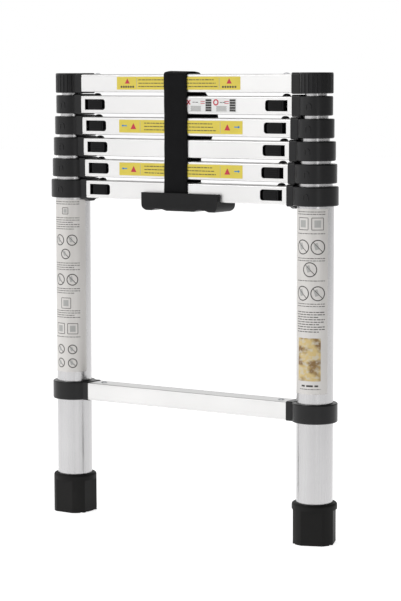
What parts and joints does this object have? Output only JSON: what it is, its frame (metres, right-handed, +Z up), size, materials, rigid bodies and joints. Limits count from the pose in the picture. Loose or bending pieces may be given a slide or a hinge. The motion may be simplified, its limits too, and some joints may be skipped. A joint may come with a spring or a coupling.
{
  "type": "telescoping ladder",
  "caption": "Telescoping ladder pushed together: nested tubes, stacked rungs with sliding release locks, a carry handle with a strap, and rubber feet.",
  "frame": {"origin": "on the floor, midway between the centre lines of the two stiles", "axes": "+X along the rungs to the user's right, +Y to the back, +Z up along the stiles"},
  "size_m": [0.466, 0.062, 0.6354],
  "materials": {
    "tube_aluminium": "satin anodised, fine drawing lines along the tube",
    "rung_aluminium": "satin extruded, fine lines along the rung",
    "collar_plastic": "fine moulded grain",
    "slider_plastic": "fine moulded grain, satin",
    "plug_plastic": "smooth moulded",
    "handle_plastic": "leather-like moulded grain",
    "foot_rubber": "matte",
    "bumper_rubber": "matte",
    "pin_steel": "ground",
    "spring_steel": "drawn wire",
    "rivet_steel": "satin",
    "screw_steel": "zinc plated",
    "webbing": "plain woven webbing",
    "label_film": "printed film, satin"
  },
  "bodies": {
    "outer_section": {"stile_tubes_6": "tube_aluminium", "rung_6": "rung_aluminium", "rung_7": "rung_aluminium", "collars_6": "collar_plastic", "bottom_bracket_left": "collar_plastic", "bottom_bracket_right": "collar_plastic", "foot_left": "foot_rubber", "foot_right": "foot_rubber", "lock_springs_6": "spring_steel", "bottom_rung_rivets": "rivet_steel", "carry_handle": "handle_plastic", "handle_screws": "screw_steel", "carry_strap": "webbing"},
    "section_5": {"stile_tubes_5": "tube_aluminium", "rung_5": "rung_aluminium", "guide_plugs_5": "plug_plastic", "collars_5": "collar_plastic", "lock_springs_5": "spring_steel"},
    "section_4": {"stile_tubes_4": "tube_aluminium", "rung_4": "rung_aluminium", "guide_plugs_4": "plug_plastic", "collars_4": "collar_plastic", "lock_springs_4": "spring_steel"},
    "section_3": {"stile_tubes_3": "tube_aluminium", "rung_3": "rung_aluminium", "guide_plugs_3": "plug_plastic", "collars_3": "collar_plastic", "lock_springs_3": "spring_steel"},
    "section_2": {"stile_tubes_2": "tube_aluminium", "rung_2": "rung_aluminium", "guide_plugs_2": "plug_plastic", "collars_2": "collar_plastic", "lock_springs_2": "spring_steel"},
    "section_1": {"stile_tubes_1": "tube_aluminium", "rung_1": "rung_aluminium", "guide_plugs_1": "plug_plastic", "top_cap_left": "collar_plastic", "top_cap_right": "collar_plastic", "top_rung_rivets": "rivet_steel"},
    "lock_2_left": {"slider_2_left": "slider_plastic", "lock_pin_2_left": "pin_steel"},
    "lock_2_right": {"slider_2_right": "slider_plastic", "lock_pin_2_right": "pin_steel"},
    "lock_3_left": {"slider_3_left": "slider_plastic", "lock_pin_3_left": "pin_steel"},
    "lock_3_right": {"slider_3_right": "slider_plastic", "lock_pin_3_right": "pin_steel"},
    "lock_4_left": {"slider_4_left": "slider_plastic", "lock_pin_4_left": "pin_steel"},
    "lock_4_right": {"slider_4_right": "slider_plastic", "lock_pin_4_right": "pin_steel"},
    "lock_5_left": {"slider_5_left": "slider_plastic", "lock_pin_5_left": "pin_steel"},
    "lock_5_right": {"slider_5_right": "slider_plastic", "lock_pin_5_right": "pin_steel"},
    "lock_6_left": {"slider_6_left": "slider_plastic", "lock_pin_6_left": "pin_steel"},
    "lock_6_right": {"slider_6_right": "slider_plastic", "lock_pin_6_right": "pin_steel"}
  },
  "joints": [
    {"name": "section_5_slide", "type": "slide", "parent": "outer_section", "child": "section_5", "axis": [0, 0, 1], "range_m": [0, 0.262], "deforming": ["carry_strap"]},
    {"name": "section_4_slide", "type": "slide", "parent": "section_5", "child": "section_4", "axis": [0, 0, 1], "range_m": [0, 0.262]},
    {"name": "section_3_slide", "type": "slide", "parent": "section_4", "child": "section_3", "axis": [0, 0, 1], "range_m": [0, 0.262]},
    {"name": "section_2_slide", "type": "slide", "parent": "section_3", "child": "section_2", "axis": [0, 0, 1], "range_m": [0, 0.262]},
    {"name": "section_1_slide", "type": "slide", "parent": "section_2", "child": "section_1", "axis": [0, 0, 1], "range_m": [0, 0.262]},
    {"name": "lock_2_left_slide", "type": "slide", "parent": "section_2", "child": "lock_2_left", "axis": [1, 0, 0], "range_m": [0, 0.0045], "stiffness_N_per_m": 400, "springref_m": -0.015, "deforming": ["lock_springs_2"]},
    {"name": "lock_2_right_slide", "type": "slide", "parent": "section_2", "child": "lock_2_right", "axis": [-1, 0, 0], "range_m": [0, 0.0045], "stiffness_N_per_m": 400, "springref_m": -0.015, "deforming": ["lock_springs_2"]},
    {"name": "lock_3_left_slide", "type": "slide", "parent": "section_3", "child": "lock_3_left", "axis": [1, 0, 0], "range_m": [0, 0.0045], "stiffness_N_per_m": 400, "springref_m": -0.015, "deforming": ["lock_springs_3"]},
    {"name": "lock_3_right_slide", "type": "slide", "parent": "section_3", "child": "lock_3_right", "axis": [-1, 0, 0], "range_m": [0, 0.0045], "stiffness_N_per_m": 400, "springref_m": -0.015, "deforming": ["lock_springs_3"]},
    {"name": "lock_4_left_slide", "type": "slide", "parent": "section_4", "child": "lock_4_left", "axis": [1, 0, 0], "range_m": [0, 0.0045], "stiffness_N_per_m": 400, "springref_m": -0.015, "deforming": ["lock_springs_4"]},
    {"name": "lock_4_right_slide", "type": "slide", "parent": "section_4", "child": "lock_4_right", "axis": [-1, 0, 0], "range_m": [0, 0.0045], "stiffness_N_per_m": 400, "springref_m": -0.015, "deforming": ["lock_springs_4"]},
    {"name": "lock_5_left_slide", "type": "slide", "parent": "section_5", "child": "lock_5_left", "axis": [1, 0, 0], "range_m": [0, 0.0045], "stiffness_N_per_m": 400, "springref_m": -0.015, "deforming": ["lock_springs_5"]},
    {"name": "lock_5_right_slide", "type": "slide", "parent": "section_5", "child": "lock_5_right", "axis": [-1, 0, 0], "range_m": [0, 0.0045], "stiffness_N_per_m": 400, "springref_m": -0.015, "deforming": ["lock_springs_5"]},
    {"name": "lock_6_left_slide", "type": "slide", "parent": "outer_section", "child": "lock_6_left", "axis": [1, 0, 0], "range_m": [0, 0.0045], "stiffness_N_per_m": 400, "springref_m": -0.015, "deforming": ["lock_springs_6"]},
    {"name": "lock_6_right_slide", "type": "slide", "parent": "outer_section", "child": "lock_6_right", "axis": [-1, 0, 0], "range_m": [0, 0.0045], "stiffness_N_per_m": 400, "springref_m": -0.015, "deforming": ["lock_springs_6"]}
  ]
}
